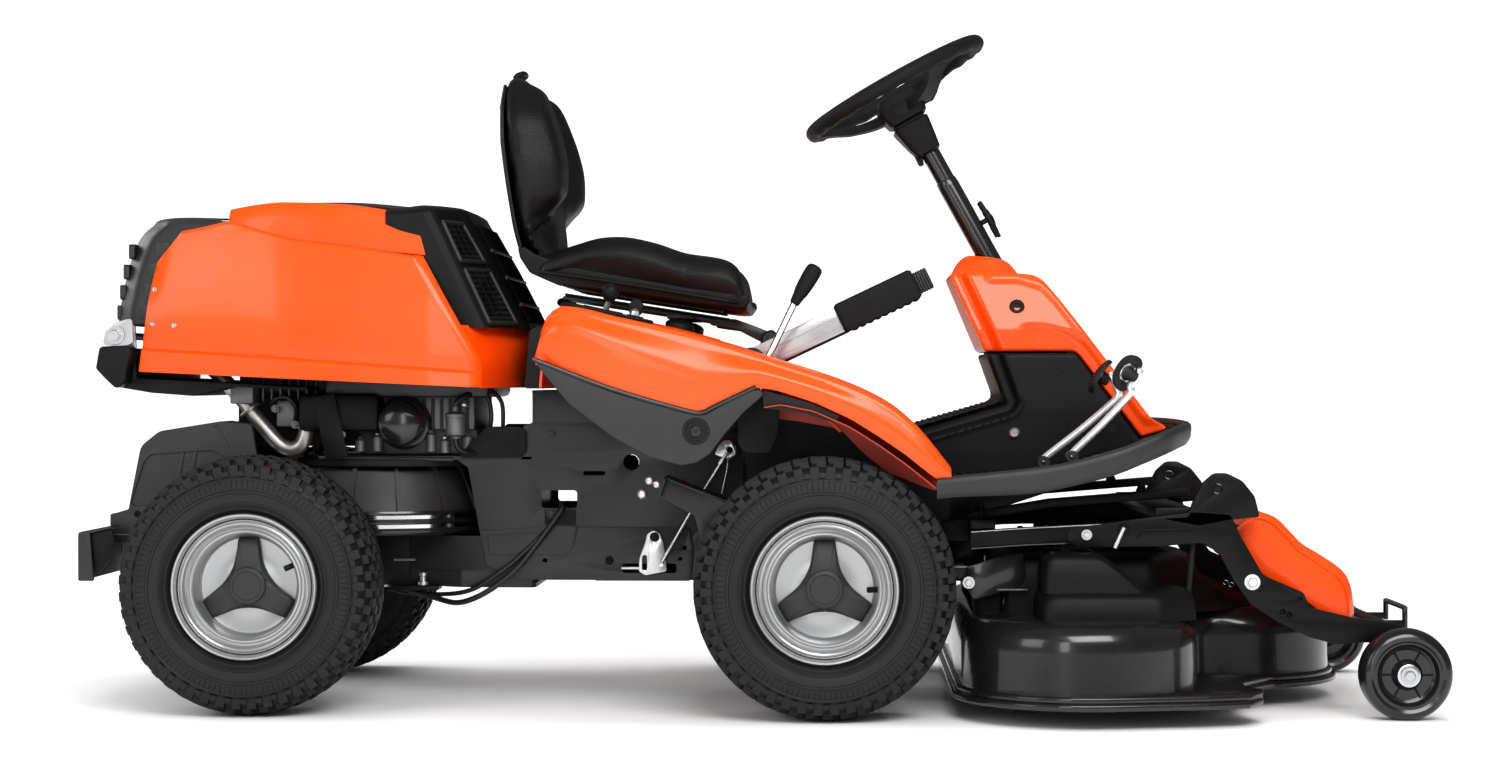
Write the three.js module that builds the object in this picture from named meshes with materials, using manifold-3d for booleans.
// Ride-on lawn mower with a front cutting deck and an articulated rear carriage.
// Millimetres, +X forward, +Y to the operator's left, +Z up. The finished group has its origin
// on the ground, in the middle of the footprint; the pieces are drawn in model coordinates,
// which the group's position shifts into place.
//
// Outline tables: *_SIDE holds [x, z], *_PLAN holds [x, y], *_HALF_WIDTHS holds [z, y].
import * as THREE from "three";
import { mergeVertices } from "three/addons/utils/BufferGeometryUtils.js";
import Module from "manifold-3d";

const wasm = await Module();
wasm.setup();

// ---------------------------------------------------------------- driving dimensions
const SHIFT_X = -11; // model coordinates to the footprint's middle
const LIFT_Z = 5; // model coordinates to the ground plane

// height of an axle whose many-sided wheel stands on one of its flats
const axleHeight = (radius, segments) => radius * Math.cos(Math.PI / segments) - LIFT_Z;

const TYRE_R = 203.5; // 170/60-8 tyre
const TYRE_SEGS = 28;
const AXLE_Z = axleHeight(TYRE_R, TYRE_SEGS);
const WHEELBASE = 896;
const FRONT_AXLE_X = 126;
const REAR_AXLE_X = FRONT_AXLE_X - WHEELBASE;
const FRONT_TRACK = 715;
const REAR_TRACK = 627;

const KINGPIN_X = -620; // the rear carriage turns about this upright pin
const KINGPIN_R = 20;
const FRAME_INNER = 130; // inner and outer faces of the main frame's side plates
const FRAME_OUTER = 134;
const LIFT_PIN = { x: 340, z: 215, radius: 12 }; // hinge that carries the deck frame
const SEAT_PIN = { x: 37, z: 582, radius: 5 }; // joins the seat bracket to the fenders
const STEER = { x: 242, z: 1003, tilt: (29 * Math.PI) / 180 }; // wheel centre and column rake
const COLUMN_R = 19;
const CONTROL_Y = -360; // throttle and ignition key

const DECK_WHEEL_R = 71;
const DECK_WHEEL_SEGS = 18;
const DECK_WHEEL_X = 1018;
const DECK_WHEEL_Y = 340;
const DECK_WHEEL_Z = axleHeight(DECK_WHEEL_R, DECK_WHEEL_SEGS);
const CENTRE_BLADE_X = 775;
const SIDE_BLADE = { x: 520, y: 310 };
// name, x, y, angle of the blade in plan
const BLADES = [
  ["centre", CENTRE_BLADE_X, 0, 0],
  ["right", SIDE_BLADE.x, -SIDE_BLADE.y, Math.PI / 2],
  ["left", SIDE_BLADE.x, SIDE_BLADE.y, Math.PI / 2],
];

// ---------------------------------------------------------------- solids
// a closed three.js geometry as a Manifold, turned right side out if need be
function solid(geometry) {
  for (const name of Object.keys(geometry.attributes)) {
    if (name !== "position") geometry.deleteAttribute(name);
  }
  const merged = mergeVertices(geometry, 1e-4);
  const index = merged.index.array;
  const triangles = [];
  for (let i = 0; i < index.length; i += 3) {
    const [a, b, c] = index.slice(i, i + 3);
    if (a !== b && b !== c && a !== c) triangles.push([a, b, c]);
  }
  const vertProperties = Float32Array.from(merged.attributes.position.array);
  const build = (faces) => {
    const triVerts = Uint32Array.from(faces.flat());
    return new wasm.Manifold(new wasm.Mesh({ numProp: 3, vertProperties, triVerts }));
  };
  const built = build(triangles);
  return built.volume() < 0 ? build(triangles.map(([a, b, c]) => [a, c, b])) : built;
}

function geometryOf(shape) {
  const { vertProperties, triVerts } = shape.getMesh();
  const geometry = new THREE.BufferGeometry();
  const positions = Float32Array.from(vertProperties);
  geometry.setAttribute("position", new THREE.BufferAttribute(positions, 3));
  geometry.setIndex(new THREE.BufferAttribute(Uint32Array.from(triVerts), 1));
  geometry.computeVertexNormals();
  return geometry;
}

const join = (...shapes) => shapes.flat(2).reduce((sum, shape) => sum.add(shape));
const cut = (body, ...tools) => tools.flat(2).reduce((rest, tool) => rest.subtract(tool), body);
const vec = (x, y, z) => new THREE.Vector3(x, y, z);

function extrude(outline, depth) {
  const shape = new THREE.Shape(outline.map(([x, y]) => new THREE.Vector2(x, y)));
  return new THREE.ExtrudeGeometry(shape, { depth, bevelEnabled: false, steps: 1 });
}

// [x, z] outline, extruded along y
function side(outline, yFrom, yTo) {
  const geometry = extrude(outline, yTo - yFrom);
  geometry.rotateX(Math.PI / 2);
  geometry.translate(0, yTo, 0);
  return solid(geometry);
}
// [x, z] outline, extruded equally to both sides of the middle plane
const across = (outline, halfWidth) => side(outline, -halfWidth, halfWidth);

// [x, y] outline, extruded along z
function plan(outline, zFrom, zTo) {
  const geometry = extrude(outline, zTo - zFrom);
  geometry.translate(0, 0, zFrom);
  return solid(geometry);
}

// [y, z] outline, extruded along x
function frontal(outline, xFrom, xTo) {
  const geometry = extrude(outline, xTo - xFrom);
  geometry.applyMatrix4(new THREE.Matrix4().makeBasis(vec(0, 1, 0), vec(0, 0, 1), vec(1, 0, 0)));
  geometry.translate(xFrom, 0, 0);
  return solid(geometry);
}

function box(xFrom, xTo, yFrom, yTo, zFrom, zTo) {
  const geometry = new THREE.BoxGeometry(xTo - xFrom, yTo - yFrom, zTo - zFrom);
  geometry.translate((xFrom + xTo) / 2, (yFrom + yTo) / 2, (zFrom + zTo) / 2);
  return solid(geometry);
}

// matching parts on the right (-1) and the left (+1), between distances inner and outer from y = 0
const HANDS = [-1, 1];
const span = (hand, inner, outer) => (hand < 0 ? [-outer, -inner] : [inner, outer]);
const platePair = (outline, inner, outer) =>
  HANDS.map((hand) => side(outline, ...span(hand, inner, outer)));
const boxPair = (xFrom, xTo, inner, outer, zFrom, zTo) =>
  HANDS.map((hand) => box(xFrom, xTo, ...span(hand, inner, outer), zFrom, zTo));

// turns a geometry's y axis to the direction, then moves it to the point
function aim(geometry, direction, point) {
  const turn = new THREE.Quaternion().setFromUnitVectors(vec(0, 1, 0), direction.normalize());
  geometry.applyQuaternion(turn);
  geometry.translate(...point);
  return solid(geometry);
}

// cylinder or cone between two points
function bar(from, to, radius, segments = 10, endRadius = radius) {
  const start = vec(...from);
  const end = vec(...to);
  const length = start.distanceTo(end);
  const geometry = new THREE.CylinderGeometry(endRadius, radius, length, segments);
  return aim(geometry, end.clone().sub(start), end.add(start).multiplyScalar(0.5).toArray());
}
const crossBar = (x, z, radius, yFrom, yTo, segments) =>
  bar([x, yFrom, z], [x, yTo, z], radius, segments);
const post = (x, y, radius, zFrom, zTo, segments) =>
  bar([x, y, zFrom], [x, y, zTo], radius, segments);

function ball(centre, radius, segments) {
  const geometry = new THREE.SphereGeometry(radius, segments, Math.round(segments / 2));
  geometry.translate(...centre);
  return solid(geometry);
}

// a bent round rod: straight runs with a slightly larger ball at each bend
const rod = (points, radius, segments) =>
  join(
    points.slice(1).map((point, i) => bar(points[i], point, radius, segments)),
    points.slice(1, -1).map((point) => ball(point, radius * 1.02, segments)),
  );

// [radius, height] profile turned about an axis through the point, along the direction
function turned(profile, point, direction, segments, spin = 0) {
  const points = profile.map(([radius, height]) => new THREE.Vector2(radius, height));
  if (profile[0][0] !== 0) points.push(points[0].clone());
  const geometry = new THREE.LatheGeometry(points, segments);
  geometry.rotateY(spin);
  return aim(geometry, vec(...direction), point);
}

// ---------------------------------------------------------------- outlines
// outline moved inwards by the distance, whichever way round it runs
function inset(outline, distance) {
  const following = (i) => outline[(i + 1) % outline.length];
  const area = outline.reduce((sum, [x, y], i) => {
    const [nextX, nextY] = following(i);
    return sum + x * nextY - nextX * y;
  }, 0);
  const sign = area > 0 ? 1 : -1;
  const inward = (from, to) => {
    const [dx, dy] = [to[0] - from[0], to[1] - from[1]];
    const length = Math.hypot(dx, dy);
    return [(-dy / length) * sign, (dx / length) * sign];
  };
  return outline.map((point, i) => {
    const before = inward(outline.at(i - 1), point);
    const after = inward(point, following(i));
    const scale = distance / (1 + before[0] * after[0] + before[1] * after[1]);
    return point.map((value, axis) => value + scale * (before[axis] + after[axis]));
  });
}

// closes a half outline with its mirror image across y = 0
const mirrored = (half) => [
  ...half,
  ...half.filter(([, y]) => y !== 0).reverse().map(([x, y]) => [x, -y]),
];
// [z, y] half widths to a full [y, z] outline
const mirroredFront = (halfWidths) => mirrored(halfWidths).map(([z, y]) => [y, z]);

// outline of a sheet that hangs under a line running forward
function sheet(line, thickness) {
  const underside = line.map(([x, z], i) => {
    const [backX, backZ] = line[Math.max(0, i - 1)];
    const [frontX, frontZ] = line[Math.min(line.length - 1, i + 1)];
    const length = Math.hypot(frontX - backX, frontZ - backZ);
    return [
      x + ((frontZ - backZ) / length) * thickness,
      z - ((frontX - backX) / length) * thickness,
    ];
  });
  return [...line, ...underside.reverse()];
}

const rotated = ([x, y], angle) => [
  x * Math.cos(angle) - y * Math.sin(angle),
  x * Math.sin(angle) + y * Math.cos(angle),
];

// ---------------------------------------------------------------- materials
const paint = (look) => new THREE.MeshStandardMaterial(look);
const PAINT = {
  orange: paint({ color: 0xf2540c, roughness: 0.28 }),
  frame: paint({ color: 0x35363a, roughness: 0.5, metalness: 0.3 }),
  black: paint({ color: 0x17181a, roughness: 0.55 }),
  grey: paint({ color: 0x46474a, roughness: 0.6 }),
  rubber: paint({ color: 0x1f1f20, roughness: 0.85 }),
  rim: paint({ color: 0xb4b5b6, roughness: 0.35, metalness: 0.7 }),
  cast: paint({ color: 0x55575a, roughness: 0.5, metalness: 0.6 }),
  zinc: paint({ color: 0xd6d8da, roughness: 0.25, metalness: 0.9 }),
  seat: paint({ color: 0x1c1c1e, roughness: 0.6 }),
  deck: paint({ color: 0x202123, roughness: 0.3, metalness: 0.3 }),
};

const machine = new THREE.Group();
machine.position.set(SHIFT_X, 0, LIFT_Z);
function add(name, shape, paintName) {
  const mesh = new THREE.Mesh(geometryOf(shape), PAINT[paintName]);
  mesh.name = name;
  machine.add(mesh);
}

// ---------------------------------------------------------------- road wheels
// profiles: radius, distance along the axle towards the outside of the machine
const TYRE = mirrored([[101.6, -59.5], [118, -59.5], [133, -81], [176, -84], [TYRE_R, -54]]);
const RIM = [
  [96, -66], [114, -66], [114, -60.3], [100.6, -60.3], [100.6, 60.3], [114, 60.3], [114, 66],
  [96, 66], [83, 26], [13, 26], [13, 16], [84, 16], [94, 42],
];
const CAP_ARM = [[45, -17], [79, -12], [79, 12], [45, 17]]; // along the arm, across it
const CAP_NOTCH = [34, 0]; // halfway between two arms

// three-armed star with a round boss, its local z along the axle
function hubCap(outward) {
  const outline = [0, 1, 2].flatMap((arm) => {
    const angle = Math.PI / 2 + (arm * 2 * Math.PI) / 3;
    const armPoints = CAP_ARM.map((point) => rotated(point, angle));
    return [rotated(CAP_NOTCH, angle - Math.PI / 3), ...armPoints];
  });
  const star = extrude(outline, 9);
  star.translate(0, 0, 28.5);
  const boss = new THREE.CylinderGeometry(26, 28, 18, 12);
  boss.rotateX(Math.PI / 2);
  boss.translate(0, 0, 37.6);
  // local z becomes the outward axle direction, local y points up
  const place = new THREE.Matrix4().makeBasis(
    vec(-outward, 0, 0), vec(0, 0, 1), vec(0, outward, 0),
  );
  return join(solid(star), solid(boss)).transform([...place.elements]);
}

function roadWheel(name, x, y) {
  const outward = Math.sign(y);
  const centre = [x, y, AXLE_Z];
  const axis = [0, outward, 0];
  add(name + "_tyre", turned(TYRE, centre, axis, TYRE_SEGS, Math.PI / TYRE_SEGS), "rubber");
  add(name + "_rim", turned(RIM, centre, axis, 20), "rim");
  add(name + "_hub_cap", hubCap(outward).translate(centre), "black");
}
roadWheel("front_right", FRONT_AXLE_X, -FRONT_TRACK / 2);
roadWheel("front_left", FRONT_AXLE_X, FRONT_TRACK / 2);
roadWheel("rear_right", REAR_AXLE_X, -REAR_TRACK / 2);
roadWheel("rear_left", REAR_AXLE_X, REAR_TRACK / 2);

// housing between the frame plates, axle tubes, wheel spindles and an upright shaft
const TRANSAXLE_SIDE = [
  [26, 150], [60, 128], [190, 128], [226, 150], [226, 250], [190, 272], [60, 272], [26, 250],
];
add(
  "front_transaxle",
  join(
    across(TRANSAXLE_SIDE, 96),
    crossBar(FRONT_AXLE_X, AXLE_Z, 26, -300, 300, 12),
    crossBar(FRONT_AXLE_X, AXLE_Z, 12, -384, 384, 8),
    post(FRONT_AXLE_X, 0, 22, 270, 320, 8),
  ),
  "cast",
);

// ---------------------------------------------------------------- main frame
const FRAME_SIDE = [
  [-470, 387], [-362, 387], [-362, 442], [-351, 446], [-351, 500], [-70, 500], [-20, 446],
  [60, 430], [190, 352], [330, 344], [600, 388], [600, 372], [400, 306], [356, 300], [356, 204],
  [300, 196], [-86, 191], [-372, 191], [-425, 215], [-433, 262], [-452, 375],
];
// hollow lower beam that holds the foot of the kingpin
const BEAM_PLAN = mirrored([
  [-692, 0], [-692, 40], [-672, 72], [-560, 72], [-470, 122], [-348, 130],
]);
const BEAM_HOLLOW_PLAN = mirrored([[-560, 0], [-560, 60], [-470, 112], [-340, 122]]);

// plate across the frame, let 1 mm into both side plates
const crossPlate = (xFrom, xTo, zFrom, zTo) =>
  box(xFrom, xTo, -FRAME_INNER - 1, FRAME_INNER + 1, zFrom, zTo);
const frameBody = join(
  platePair(FRAME_SIDE, FRAME_INNER, FRAME_OUTER),
  box(-702, -351, -FRAME_OUTER, FRAME_OUTER, 387, 393),
  crossPlate(-352, -346, 191, 500),
  crossPlate(-352, -20, 191, 196),
  crossPlate(-352, -72, 495, 500),
  crossPlate(-76, -70, 420, 500),
  crossPlate(350, 356, 204, 300),
  crossBar(LIFT_PIN.x, LIFT_PIN.z, LIFT_PIN.radius, -250, 250, 12),
  cut(plan(BEAM_PLAN, 178, 258), plan(BEAM_HOLLOW_PLAN, 186, 250)),
);
add(
  "main_frame",
  cut(
    frameBody,
    post(KINGPIN_X, 0, KINGPIN_R + 1, 150, 420, 20),
    crossBar(FRONT_AXLE_X, AXLE_Z, 28, -140, 140, 12),
    box(-330, -284, -140, 140, 300, 338),
    crossBar(-176, 366, 10, -140, -120, 8),
  ),
  "frame",
);

// ---------------------------------------------------------------- engine group
// profiles: radius, height
const ENGINE_TOP = [[0, 0], [150, 0], [158, 20], [150, 90], [110, 118], [0, 120]];
const FILTER = [[0, 0], [36, 0], [38, 6], [38, 52], [30, 60], [0, 60]];
const EXHAUST_PIPE = [[-890, -142, 552], [-806, -142, 470], [-734, -142, 428], [-712, -142, 442]];
add(
  "engine_block",
  join(
    box(-640, -440, -120, 120, 393.5, 490),
    box(-690, -420, -150, 150, 488, 560),
    box(-840, -690, -110, 120, 478, 600),
    turned(ENGINE_TOP, [-560, 0, 558], [0, 0, 1], 16),
  ),
  "cast",
);
add("oil_filter", turned(FILTER, [-566, -121, 444], [0, -1, 0], 14), "black");
add(
  "muffler",
  join(
    crossBar(-902, 576, 50, -60, 180, 14),
    crossBar(-902, 576, 38, -170, -60, 12),
    rod(EXHAUST_PIPE, 12, 8),
  ),
  "cast",
);

// ---------------------------------------------------------------- engine hood, hinged at the rear
const HOOD_SIDE = [
  [-1024, 590], [-1011, 678], [-995, 743], [-962, 772], [-938, 781], [-889, 788], [-848, 790],
  [-829, 795], [-745, 803], [-657, 803], [-590, 806], [-475, 806], [-452, 790], [-402, 704],
  [-366, 604], [-366, 503], [-403, 503], [-971, 527], [-975, 590],
];
const HOOD_PLAN = mirrored([
  [-1030, 0], [-1030, 176], [-1008, 214], [-962, 256], [-900, 268],
  [-520, 272], [-435, 262], [-388, 228], [-366, 150], [-362, 0],
]);
const HOOD_FRONT = mirroredFront([
  [470, 0], [470, 272], [560, 272], [700, 262], [765, 236], [798, 190], [812, 0],
]);
// areas of the skin, seen from the side, that are separate black panels
const GRILLE_SIDE = [
  [-600, 840], [-592, 806], [-560, 783], [-522, 738], [-484, 704], [-440, 606], [-340, 600],
  [-340, 840],
];
const REAR_VENT_SIDE = [
  [-842, 840], [-848, 772], [-925, 745], [-950, 700], [-975, 611.6], [-1060, 611.6],
  [-1060, 840],
];
const HOOD_WALL = 4;
const PANEL_GAP = 0.5;

// the hood's solid form moved inwards, with its lower edge dropped to open the underside
function hoodForm(distance, drop) {
  const outline = inset(HOOD_SIDE, distance).map(([x, z]) => [x, z < 545 ? z - drop : z]);
  return across(outline, 300)
    .intersect(plan(inset(HOOD_PLAN, distance), 300, 900))
    .intersect(frontal(inset(HOOD_FRONT, distance), -1100, -300));
}
const hoodSkin = cut(
  hoodForm(0, 0),
  hoodForm(HOOD_WALL, 60),
  box(-1040, -958, -232, 232, 480, 611),
);
const hoodPanel = (outline) => hoodSkin.intersect(across(inset(outline, PANEL_GAP), 300));
add("hood_shell", cut(hoodSkin, across(GRILLE_SIDE, 300), across(REAR_VENT_SIDE, 300)), "orange");
add("hood_grille", hoodPanel(GRILLE_SIDE), "black");
add("hood_rear_vent", hoodPanel(REAR_VENT_SIDE), "black");

const HINGE_SIDE = [[-1023, 575], [-1014, 604], [-1000, 610], [-982, 610], [-982, 574]];
add(
  "hood_hinge_bracket",
  join(platePair(HINGE_SIDE, 200, 206), crossBar(-1006, 588, 7, -212, 212, 10)),
  "zinc",
);

const TRAY_SIDE = [
  [-1030, 533], [-1026, 571], [-986, 571], [-983, 520], [-824, 508], [-700, 503], [-700, 496],
  [-824, 496], [-889, 490], [-954, 494], [-1003, 502],
];
add("rear_tray", cut(across(TRAY_SIDE, 196), box(-975, -690, -162, 162, 480, 560)), "black");

// ---------------------------------------------------------------- fenders and seat deck
// [x, z] lines of the fenders' upper edge (running forward) and lower edge (running back)
const FENDER_TOP = [
  [-315, 555], [-300, 608], [-277, 631], [-185, 611], [-63, 581], [58, 544], [165, 509],
  [225, 479], [271, 441], [316, 381],
];
const FENDER_BOTTOM = [
  [293, 368], [248, 403], [210, 430], [165, 455], [120, 474], [60, 492], [43, 497], [5, 503],
  [-34, 488], [-78, 470], [-200, 504], [-305, 549],
];
const FENDER_SHEET = 5;
const FENDER_Y = 430; // outer face
const SEAT_DECK_TOP = FENDER_TOP.filter(([x]) => x <= 60);
const DECK_FRONT_SIDE = [[55, 546], [60, 541], [150, 440], [144, 436], [52, 538]];
const DECK_REAR_SIDE = [[-317, 556], [-309, 556], [-315, 505], [-323, 505]];
const SEAT_EAR_SIDE = [[46, 544], [52, 590], [30, 598], [20, 590], [22, 551]];
const fenders = join(
  platePair([...FENDER_TOP, ...FENDER_BOTTOM], FENDER_Y - FENDER_SHEET, FENDER_Y),
  platePair(sheet(FENDER_TOP, FENDER_SHEET), 280, FENDER_Y),
  across(sheet(SEAT_DECK_TOP, FENDER_SHEET), 281),
  across(DECK_FRONT_SIDE, 285),
  across(DECK_REAR_SIDE, 300),
  platePair(SEAT_EAR_SIDE, 120, 138),
);
// slots for the lift and height levers, and the bore of the seat pin
add(
  "fender_body",
  cut(
    fenders,
    box(-34, 92, -276, -234, 500, 620),
    box(-64, 154, -338, -322, 470, 640),
    crossBar(SEAT_PIN.x, SEAT_PIN.z, SEAT_PIN.radius + 0.8, -145, 145, 12),
  ),
  "orange",
);

const SIDE_PANEL_SIDE = [
  [-312, 545], [-200, 499], [-79, 465], [-34, 483], [3, 498], [43, 492], [20, 468], [-18, 410],
  [-41, 392], [-72, 387], [-156, 413], [-217, 448], [-279, 502],
];
add("side_panel_right", side(SIDE_PANEL_SIDE, -427, -413), "grey");
add("side_panel_left", side(SIDE_PANEL_SIDE, 413, 427), "grey");

const CONTROL_PANEL_SIDE = [
  [-270, 630.8], [-185, 612.2], [-140, 601.4], [-140, 605.4], [-185, 616.2], [-270, 634.8],
];
add("control_panel", side(CONTROL_PANEL_SIDE, CONTROL_Y - 26, CONTROL_Y + 26), "black");

// ---------------------------------------------------------------- floor and tunnel
const FLOOR_LINE = [[300, 362], [467, 376], [573, 402], [650, 428], [690, 436]]; // x, z
const FLOOR_PLAN = mirrored([
  [300, 0], [300, 417], [560, 417], [632, 396], [680, 300], [697, 150], [700, 0],
]);
const TUNNEL_SIDE = [
  [154, 452], [266, 440], [414, 484], [386, 561], [529, 561], [630, 421], [573, 398],
  [467, 372], [300, 360], [154, 428],
];
const TUNNEL_HOLLOW_SIDE = [
  [158, 447], [266, 435], [409, 478], [388, 556], [525, 556], [618, 421], [573, 380],
  [467, 350], [300, 340], [150, 400],
];
add(
  "floor_pan",
  join(
    across(sheet(FLOOR_LINE, 4), 420).intersect(plan(FLOOR_PLAN, 300, 500)),
    cut(across(TUNNEL_SIDE, 158), across(TUNNEL_HOLLOW_SIDE, 152)),
  ),
  "black",
);

// edge trim around the floor
const TRIM_SIDE = [
  [321, 372], [467, 388], [573, 414], [641, 440], [720, 452], [720, 418], [651, 404],
  [543, 366], [422, 343], [321, 339],
];
const trimPlan = (rearX, shrink) =>
  mirrored([
    [rearX, 0], [rearX, 431 - shrink], [560, 431 - shrink], [645, 408 - shrink],
    [694 - shrink, 305 - shrink * 0.5], [711 - shrink, 152], [714 - shrink, 0],
  ]);
const trimRing = cut(plan(trimPlan(320, 0), 300, 500), plan(trimPlan(200, 12), 290, 510));
add("floor_trim", across(TRIM_SIDE, 440).intersect(trimRing), "grey");

// ---------------------------------------------------------------- steering
// point at a distance up the column from the wheel's centre, then square to it
// (forward and up), then to the left
const steerAt = (along, ahead = 0, left = 0) => [
  STEER.x - along * Math.sin(STEER.tilt) + ahead * Math.cos(STEER.tilt),
  left,
  STEER.z + along * Math.cos(STEER.tilt) + ahead * Math.sin(STEER.tilt),
];
const STEER_CENTRE = steerAt(0);
const STEER_AXIS = [-Math.sin(STEER.tilt), 0, Math.cos(STEER.tilt)];
const columnBar = (from, to, radius, segments) =>
  bar(steerAt(from), steerAt(to), radius, segments);

const CONSOLE_SIDE = [
  [330, 687], [345, 699], [385, 715], [409, 712], [429, 700], [474, 687], [507, 647],
  [652, 456], [684, 440], [634, 424], [531, 563], [384, 563],
];
const CONSOLE_HOLLOW_SIDE = [
  [338, 682], [390, 708], [424, 694], [470, 682], [503, 643], [646, 452], [640, 424],
  [600, 400], [520, 540], [380, 540],
];
const CONSOLE_FRONT = mirroredFront([
  [400, 0], [400, 150], [600, 138], [690, 112], [716, 60], [720, 0],
]);
add(
  "steering_console",
  cut(
    across(CONSOLE_SIDE, 160).intersect(frontal(CONSOLE_FRONT, 300, 720)),
    across(CONSOLE_HOLLOW_SIDE, 150).intersect(frontal(inset(CONSOLE_FRONT, 5), 290, 730)),
    columnBar(-480, -200, COLUMN_R + 2, 16),
  ),
  "orange",
);

add(
  "column_outer",
  cut(columnBar(-476, -170, COLUMN_R, 14), columnBar(-490, -160, 15.6, 14)),
  "frame",
);
// radius, distance along the column
const COLUMN_BOSS = [[0, -126], [30, -126], [36, -118], [48, -72], [44, -62], [0, -62]];
add(
  "column_inner",
  join(
    columnBar(-290, -70, 14.4, 16),
    turned(COLUMN_BOSS, STEER_CENTRE, STEER_AXIS, 8, Math.PI / 8),
  ),
  "black",
);

function steeringRing() {
  const ring = new THREE.TorusGeometry(156, 13, 6, 24);
  const turn = new THREE.Quaternion().setFromUnitVectors(vec(0, 0, 1), vec(...STEER_AXIS));
  ring.applyQuaternion(turn);
  ring.translate(...STEER_CENTRE);
  return solid(ring);
}
function spoke(angle) {
  const pointAt = (radius, along) =>
    steerAt(along, radius * Math.cos(angle), radius * Math.sin(angle));
  return bar(pointAt(20, -38), pointAt(152, -3), 10, 6, 8);
}
add(
  "steering_wheel",
  join(
    steeringRing(),
    columnBar(-59, -20, 36, 12),
    [Math.PI, Math.PI / 3, -Math.PI / 3].map(spoke),
  ),
  "black",
);
add(
  "column_knob",
  join(
    bar(steerAt(-266, 19.8), steerAt(-266, 30), 6, 8),
    bar(steerAt(-300, 31), steerAt(-234, 31), 5, 8),
  ),
  "black",
);

// ---------------------------------------------------------------- seat
const BRACKET_PLATE_SIDE = [[-300, 656], [-20, 613], [-20, 607], [-300, 650]];
const BRACKET_EAR_SIDE = [[-40, 616], [-18, 613], [46, 588], [46, 576], [30, 576], [-40, 607]];
add(
  "seat_bracket",
  join(
    across(BRACKET_PLATE_SIDE, 120),
    platePair(BRACKET_EAR_SIDE, 108, 118),
    crossBar(SEAT_PIN.x, SEAT_PIN.z, SEAT_PIN.radius, -142, 142, 8),
  ),
  "frame",
);

const SEAT_SHELL_SIDE = [
  [-404, 985], [-400, 886], [-374, 742], [-360, 700], [-330, 675], [-300, 665], [-8, 620],
  [-6, 634], [-150, 658], [-296, 682], [-326, 698], [-352, 745], [-382, 888], [-394, 985],
];
const SEAT_FOOT_SIDE = [[-280, 657], [-280, 670], [-40, 632], [-40, 620]];
add("seat_shell", join(across(SEAT_SHELL_SIDE, 205), across(SEAT_FOOT_SIDE, 110)), "black");

// raised bolsters at both sides of a lower middle
const CUSHION_BOLSTER_SIDE = [
  [-318, 700], [-292, 706], [-233, 741], [-201, 744], [-89, 712], [-17, 696], [4, 664],
  [4, 640], [-4, 635], [-150, 659.5], [-295, 684],
];
const CUSHION_MIDDLE_SIDE = [
  [-318, 700], [-260, 708], [-120, 690], [-20, 684], [4, 660], [4, 640], [-4, 635],
  [-150, 659.5], [-295, 684],
];
add(
  "seat_cushion",
  join(platePair(CUSHION_BOLSTER_SIDE, 120, 222), across(CUSHION_MIDDLE_SIDE, 130)),
  "seat",
);

const BACK_BOLSTER_SIDE = [
  [-390, 985], [-380, 888], [-350, 746], [-326, 704], [-322, 716], [-336, 785], [-298, 822],
  [-306, 900], [-322, 960], [-345, 1010], [-376, 1021], [-392, 1005],
];
const BACK_MIDDLE_SIDE = [
  [-390, 985], [-380, 888], [-350, 746], [-326, 704], [-316, 716], [-324, 785], [-340, 900],
  [-352, 1004], [-376, 1021], [-392, 1005],
];
const BACK_FRONT = mirroredFront([
  [690, 0], [690, 215], [900, 215], [990, 180], [1025, 110], [1025, 0],
]);
add(
  "seat_backrest",
  join(platePair(BACK_BOLSTER_SIDE, 110, 215), across(BACK_MIDDLE_SIDE, 120)).intersect(
    frontal(BACK_FRONT, -420, -280),
  ),
  "seat",
);

// ---------------------------------------------------------------- hand controls
const LIFT_LEVER = { x: 10, y: -255, z: 545, slope: (25.4 * Math.PI) / 180 };
// block along the lever, between two distances from its pivot
function leverBlock(from, to, halfHeight, halfWidth) {
  const corners = [[from, -halfHeight], [to, -halfHeight], [to, halfHeight], [from, halfHeight]];
  const outline = corners.map((corner) => {
    const [x, z] = rotated(corner, LIFT_LEVER.slope);
    return [LIFT_LEVER.x + x, LIFT_LEVER.z + z];
  });
  return side(outline, LIFT_LEVER.y - halfWidth, LIFT_LEVER.y + halfWidth);
}
add(
  "lift_lever",
  cut(
    join(
      crossBar(LIFT_LEVER.x, LIFT_LEVER.z, 24, LIFT_LEVER.y - 11, LIFT_LEVER.y + 11, 14),
      leverBlock(0, 160, 20, 11),
      leverBlock(155, 288, 26, 16),
    ),
    leverBlock(262, 300, 19, 10),
  ),
  "zinc",
);
add("lift_button", leverBlock(276, 313, 18, 9), "black");

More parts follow.
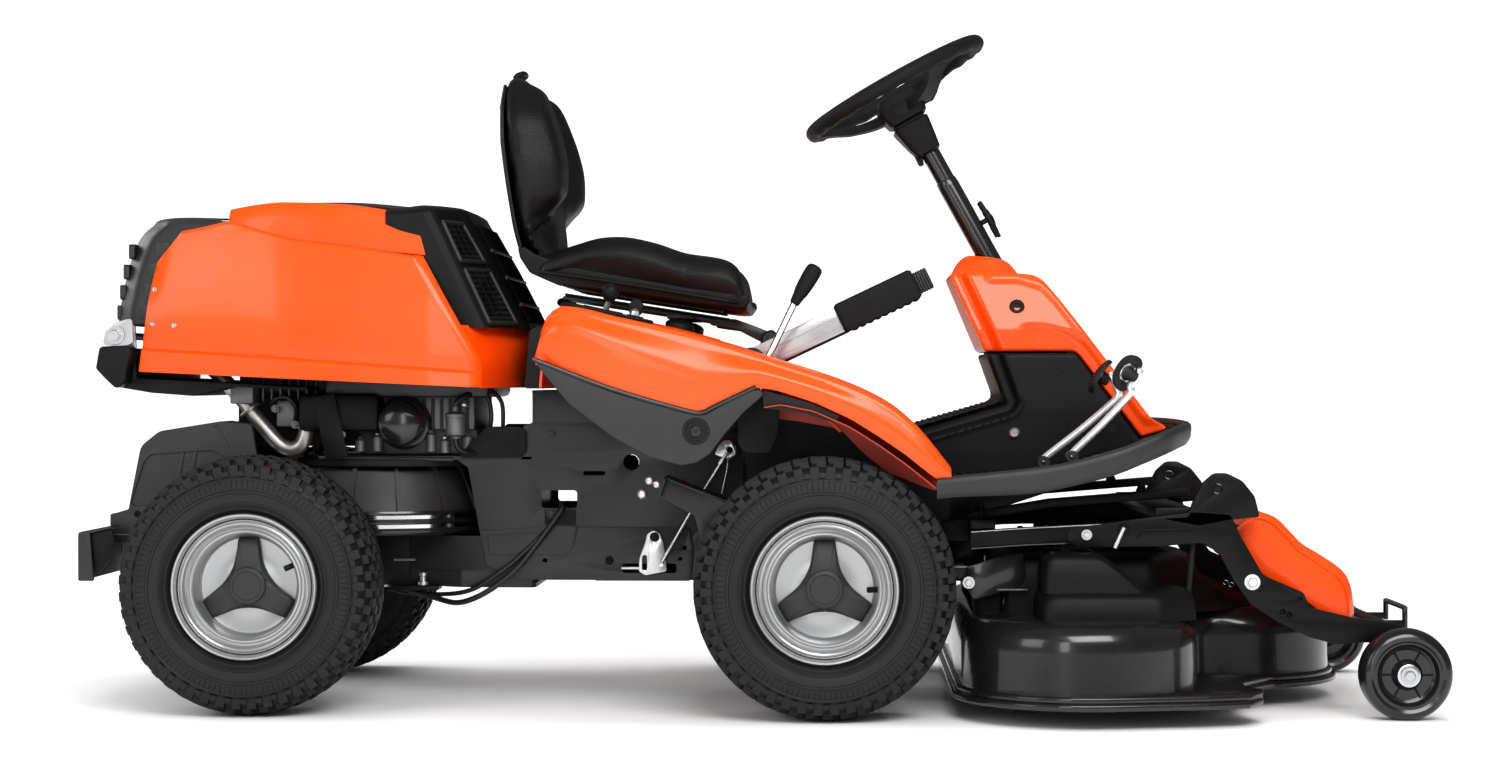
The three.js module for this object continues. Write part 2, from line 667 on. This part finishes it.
const HEIGHT_LEVER_Y = -330;
const heightBar = ([xFrom, zFrom], [xTo, zTo], ...sizes) =>
  bar([xFrom, HEIGHT_LEVER_Y, zFrom], [xTo, HEIGHT_LEVER_Y, zTo], ...sizes);
add(
  "height_lever",
  join(
    crossBar(10, 425, 12, HEIGHT_LEVER_Y - 6, HEIGHT_LEVER_Y + 6, 10),
    heightBar([10, 425], [36, 548], 5, 6),
    heightBar([35.5, 545], [80, 638], 5, 6),
    heightBar([78, 634], [112, 692], 10, 8, 15),
  ),
  "zinc",
);
add(
  "throttle_lever",
  join(
    bar([-213, CONTROL_Y, 629], [-206, CONTROL_Y, 642], 5, 8),
    ball([-205, CONTROL_Y, 652], 13.5, 12),
  ),
  "black",
);
add(
  "ignition_key",
  join(
    post(-168, CONTROL_Y, 9, 616, 622, 10),
    box(-176, -160, CONTROL_Y - 3, CONTROL_Y + 3, 620, 636),
  ),
  "black",
);

// ---------------------------------------------------------------- pedals
// name, y, then [x, z] of the pivot, of the bend in the arm and of the pad
const PEDALS = [
  ["forward_pedal", -292, [467, 389], [580, 486], [556, 524]],
  ["reverse_pedal", -362, [505, 399], [592, 492], [592, 528]],
  ["brake_pedal", 300, [467, 389], [580, 486], [556, 524]],
];
const PAD_SIDE = [[-26, -22], [8, 24], [14, 20], [-18, -28]]; // from the pad's place
for (const [name, y, [pivotX, pivotZ], [bendX, bendZ], [padX, padZ]] of PEDALS) {
  const pedal = join(
    crossBar(pivotX, pivotZ, 8, y - 12, y + 12, 8),
    bar([pivotX, y, pivotZ], [bendX, y, bendZ], 5, 6),
    bar([bendX - 1, y, bendZ - 3], [padX - 4, y, padZ - 1], 5, 6),
    side(PAD_SIDE.map(([x, z]) => [padX + x, padZ + z]), y - 26, y + 26),
  );
  add(name, pedal, "black");
}

const CRANK_SIDE = [
  [-163, 262], [-158, 272], [-151, 276], [-143, 272], [-138, 262], [-127, 224], [-127, 212],
  [-166, 205], [-170, 212],
];
add(
  "brake_crank",
  cut(side(CRANK_SIDE, -143, -137), crossBar(-151, 262, 5, -150, -130, 8)),
  "zinc",
);
add("brake_rod", bar([-137, -147, 224], [-32, -152, 400], 3, 6), "zinc");

// ---------------------------------------------------------------- articulated rear carriage
// radius, height of the bell around the kingpin
const BELL = [
  [19, 382], [19, 373], [146, 373], [177, 299], [177, 267], [190, 267], [190, 304], [182, 304],
  [152, 382],
];
const carriage = join(
  turned(BELL, [KINGPIN_X, 0, 0], [0, 0, 1], 24),
  post(KINGPIN_X, 0, KINGPIN_R, 168, 392.8, 16),
  box(-1000, -728, -100, 100, 242, 276),
  boxPair(-810, -732, 96, 112, 160, 268),
);
add("rear_carriage", cut(carriage, crossBar(REAR_AXLE_X, AXLE_Z, 26, -130, 130, 16)), "frame");
add(
  "rear_axle",
  join(
    crossBar(REAR_AXLE_X, AXLE_Z, 24, -252, 252, 16),
    crossBar(REAR_AXLE_X, AXLE_Z, 12, -340, 340, 12),
  ),
  "cast",
);

const CARRIAGE_COVER_SIDE = [
  [-1024, 280], [-1022, 304], [-998, 306], [-978, 412], [-962, 433], [-873, 449], [-846, 447],
  [-790, 372], [-786, 280],
];
const CARRIAGE_HOLLOW_SIDE = [
  [-1018, 270], [-990, 300], [-973, 408], [-958, 428], [-873, 443], [-760, 441], [-760, 270],
];
add(
  "carriage_cover",
  cut(across(CARRIAGE_COVER_SIDE, 192), across(CARRIAGE_HOLLOW_SIDE, 186)),
  "grey",
);

const BUMPER_SIDE = [[-1066, 195], [-1066, 268], [-1056, 272], [-1056, 195]];
const BUMPER_END_SIDE = [[-1060, 197], [-1060, 270], [-1012, 284], [-1012, 250]];
add(
  "rear_bumper",
  join(
    across(BUMPER_SIDE, 250),
    platePair(BUMPER_END_SIDE, 242, 250),
    boxPair(-1058, -1001, 60, 80, 246, 270),
  ),
  "frame",
);

// ---------------------------------------------------------------- deck frame
const CHANNEL_SIDE = [[352, 258], [352, 306], [440, 312], [735, 326], [735, 268], [440, 262]];
const DISC_SIDE = [
  [712, 300], [712, 352], [723, 373], [743, 381], [766, 374], [787, 352], [799, 318], [799, 300],
];
const ARM_SIDE = [
  [712, 300], [740, 300], [764, 253], [787, 214], [800, 202], [879, 168], [957, 150],
  [1030, 130], [1030, 108], [934, 112], [880, 130], [818, 172], [760, 220], [720, 272],
];
const LIFT_PLATE_SIDE = [[326, 200], [326, 240], [352, 300], [392, 306], [360, 240], [354, 200]];
const WHEEL_LUG_SIDE = [[1008, 60], [1008, 130], [1030, 130], [1030, 60]];
// y, z of the small bridge at the very front
const BRIDGE_FRONT = [
  [-80, 112], [-80, 140], [-72, 148], [72, 148], [80, 140], [80, 112], [70, 112], [70, 134],
  [66, 138], [-66, 138], [-70, 134], [-70, 112],
];
function deckFrameHalf(hand) {
  const armSpan = span(hand, 296, 306);
  return join(
    side(CHANNEL_SIDE, ...armSpan),
    side(DISC_SIDE, ...armSpan),
    side(ARM_SIDE, ...armSpan),
    side(LIFT_PLATE_SIDE, ...span(hand, 196, 206)),
    box(352, 392, ...span(hand, 196, 306), 270, 300),
    crossBar(DECK_WHEEL_X, DECK_WHEEL_Z, 9, hand * 290, hand * 378, 10),
    side(WHEEL_LUG_SIDE, ...span(hand, 292, 302)),
  );
}
const deckFrame = join(
  HANDS.map(deckFrameHalf),
  crossBar(DECK_WHEEL_X, 122, 11, -298, 298, 10),
  box(640, 700, -300, 300, 300, 318),
  boxPair(1016, 1072, 71, 79, 114, 124),
  frontal(BRIDGE_FRONT, 1069, 1078),
);
add(
  "deck_frame",
  cut(
    deckFrame,
    crossBar(LIFT_PIN.x, LIFT_PIN.z, LIFT_PIN.radius + 1, -260, 260, 12),
    crossBar(740, 349, 8, -320, 320, 8),
  ),
  "frame",
);

// ---------------------------------------------------------------- cutting deck
// three-lobed plan around the blade centres, grown by a distance
function lobedPlan(grow) {
  const arc = (x, y, fromDegrees, toDegrees, steps) =>
    Array.from({ length: steps + 1 }, (_, i) => {
      const angle = ((fromDegrees + ((toDegrees - fromDegrees) * i) / steps) * Math.PI) / 180;
      const radius = 184 + grow;
      return [x + radius * Math.cos(angle), y + radius * Math.sin(angle)];
    });
  return [
    ...arc(SIDE_BLADE.x, -SIDE_BLADE.y, 180, 340, 9),
    ...arc(CENTRE_BLADE_X, 0, -50, 50, 6),
    ...arc(SIDE_BLADE.x, SIDE_BLADE.y, 20, 180, 9),
  ];
}
// the four upright hangers, widened by a gap lengthwise and crosswise
const hangers = (gapX, gapY, zFrom, zTo) =>
  [505, 689].flatMap((x) =>
    boxPair(x - 13 - gapX, x + 13 + gapX, 309 - gapY, 315 + gapY, zFrom, zTo),
  );
add(
  "deck_shell",
  cut(
    join(
      plan(lobedPlan(0), 34, 140),
      plan(lobedPlan(-12), 139, 152),
      plan(lobedPlan(7), 27, 36),
      hangers(0, 0, 134, 296),
    ),
    plan(lobedPlan(-4), 20, 136),
    plan(lobedPlan(-16), 130, 148),
    BLADES.map(([, x, y]) => post(x, y, 20, 100, 170, 10)),
  ),
  "deck",
);

const BELT_COVER_PLAN = mirrored([
  [404, 0], [404, 300], [430, 356], [560, 400], [640, 380], [700, 300], [840, 120], [860, 0],
]);
const BELT_COVER_SIDE = [
  [404, 153], [404, 222], [461, 244], [554, 244], [600, 205], [700, 200], [760, 172],
  [862, 160], [862, 153],
];
const BELT_HOLLOW_SIDE = [
  [408, 140], [408, 218], [462, 239], [552, 239], [598, 200], [698, 195], [758, 167],
  [850, 155], [850, 140],
];
const BELT_WALL = 5;
// grooves along the cover's top that let the frame channels sink into it
const grooves = (grow) =>
  boxPair(380 - grow, 760 + grow, 289 - grow, 313 + grow, 214 - grow, 300);
const beltHollow = across(BELT_HOLLOW_SIDE, 400).intersect(
  plan(inset(BELT_COVER_PLAN, BELT_WALL), 130, 250),
);
add(
  "deck_belt_cover",
  cut(
    across(BELT_COVER_SIDE, 410).intersect(plan(BELT_COVER_PLAN, 150, 260)),
    grooves(0),
    hangers(5, 4, 140, 300),
    cut(beltHollow, grooves(BELT_WALL)),
  ),
  "black",
);

const FRONT_COVER_SIDE = [
  [786, 300], [812, 310], [852, 298], [878, 262], [952, 212], [984, 162], [984, 142],
  [930, 142], [890, 175], [800, 240], [770, 270],
];
const FRONT_HOLLOW_SIDE = [
  [760, 250], [792, 296], [812, 305], [848, 293], [874, 258], [948, 208], [979, 160],
  [979, 130], [900, 100],
];
add(
  "deck_front_cover",
  cut(across(FRONT_COVER_SIDE, 262), across(FRONT_HOLLOW_SIDE, 257)),
  "orange",
);

// along the blade, across it
const BLADE_OUTLINE = [
  [-160, -24], [-110, -26], [110, -26], [160, -24], [160, 20], [110, 26], [-110, 26], [-160, 20],
];
for (const [name, x, y, angle] of BLADES) {
  const outline = BLADE_OUTLINE.map((point) => {
    const [dx, dy] = rotated(point, angle);
    return [x + dx, y + dy];
  });
  add("blade_" + name, join(plan(outline, 48, 53), post(x, y, 12, 44, 156, 8)), "zinc");
}

// radius, distance along the axle
const DECK_WHEEL = mirrored([
  [10.5, -26], [22, -26], [24, -12], [50, -12], [56, -29], [DECK_WHEEL_R, -22],
]);
for (const hand of HANDS) {
  const centre = [DECK_WHEEL_X, hand * DECK_WHEEL_Y, DECK_WHEEL_Z];
  const spin = Math.PI / DECK_WHEEL_SEGS;
  add(
    hand < 0 ? "deck_wheel_right" : "deck_wheel_left",
    turned(DECK_WHEEL, centre, [0, hand, 0], DECK_WHEEL_SEGS, spin),
    "black",
  );
}

export default machine;
